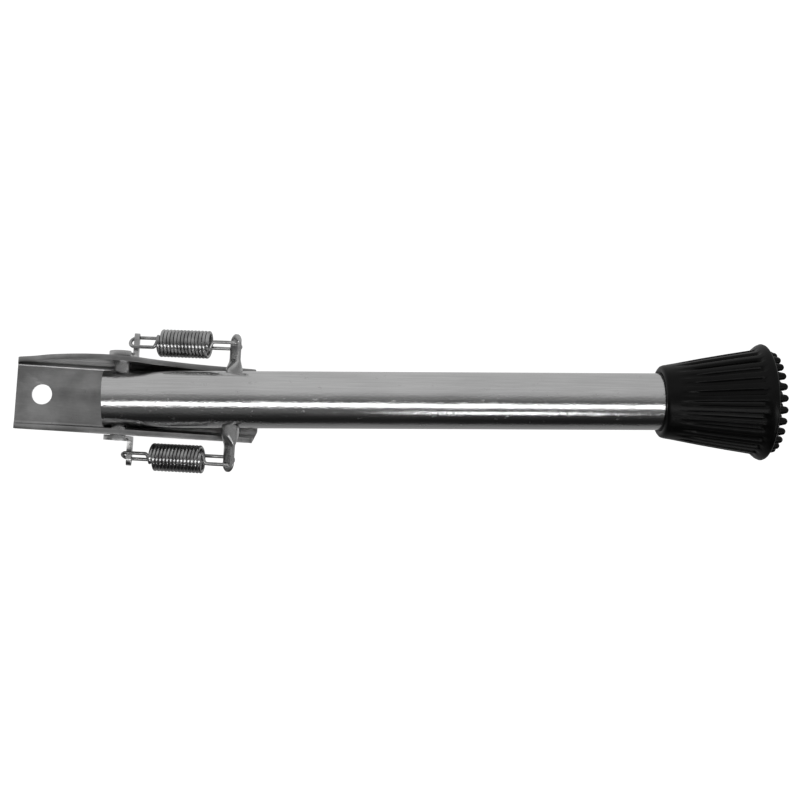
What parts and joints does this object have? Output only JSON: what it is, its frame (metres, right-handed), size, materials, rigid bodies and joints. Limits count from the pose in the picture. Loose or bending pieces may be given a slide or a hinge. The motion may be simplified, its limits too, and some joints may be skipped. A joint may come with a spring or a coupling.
{
  "type": "kick-down door stay",
  "caption": "Foot-operated door stay: a tube leg with a ribbed rubber foot, riveted in a folded channel bracket and snapped over centre by extension springs.",
  "frame": {"origin": "on the bracket's back face, directly under the pivot axis", "axes": "+X along the bracket towards the foot, +Z away from the door, +Y completes the frame along the pivot rivet"},
  "size_m": [0.2946, 0.0628, 0.0451],
  "materials": {
    "bracket_zinc": "dull zinc-plated sheet with bright folds",
    "tube_zinc": "bright zinc-plated tube with fine drawn lines",
    "forged_steel": "zinc-plated pin, rivet and anchor plates",
    "spring_wire": "drawn spring wire, grey",
    "black_rubber": "moulded satin"
  },
  "bodies": {
    "bracket": {"mounting_bracket": "bracket_zinc", "pivot_rivet": "forged_steel", "spring_anchor_upper": "forged_steel", "spring_anchor_lower": "forged_steel"},
    "leg": {"leg_tube": "tube_zinc", "spring_cross_pin": "forged_steel", "rubber_foot": "black_rubber", "foot_washer": "forged_steel"},
    "spring_upper": {"spring_upper_leg_half": "spring_wire"},
    "spring_upper_free_end": {"spring_upper_bracket_half": "spring_wire"},
    "spring_lower": {"spring_lower_leg_half": "spring_wire"},
    "spring_lower_free_end": {"spring_lower_bracket_half": "spring_wire"}
  },
  "joints": [
    {"name": "leg_swing", "type": "hinge", "parent": "bracket", "child": "leg", "pos_m": [0, 0, 0.017], "axis": [0, -1, 0], "range_deg": [0, 170]},
    {"name": "spring_upper_tilt", "type": "hinge", "parent": "leg", "child": "spring_upper", "pos_m": [0.0428, 0.0222, 0.0201], "axis": [0, -1, 0], "range_deg": [-28, 0]},
    {"name": "spring_upper_stretch", "type": "slide", "parent": "spring_upper", "child": "spring_upper_free_end", "axis": [-0.9719, 0, -0.2355], "range_m": [0, 0.008], "deforming": ["spring_upper_bracket_half", "spring_upper_leg_half"]},
    {"name": "spring_lower_tilt", "type": "hinge", "parent": "leg", "child": "spring_lower", "pos_m": [0.0428, -0.0222, 0.01976], "axis": [0, -1, 0], "range_deg": [-29, 0]},
    {"name": "spring_lower_stretch", "type": "slide", "parent": "spring_lower", "child": "spring_lower_free_end", "axis": [-0.9719, 0, -0.2355], "range_m": [0, 0.0082], "deforming": ["spring_lower_bracket_half", "spring_lower_leg_half"]}
  ],
  "couplings": [
    {"joint": "spring_upper_tilt", "follows": "leg_swing", "ratio": -0.16029},
    {"joint": "spring_upper_stretch", "follows": "leg_swing", "m_per_rad": 0.0026665},
    {"joint": "spring_lower_tilt", "follows": "leg_swing", "ratio": -0.16854},
    {"joint": "spring_lower_stretch", "follows": "leg_swing", "m_per_rad": 0.0027217}
  ]
}
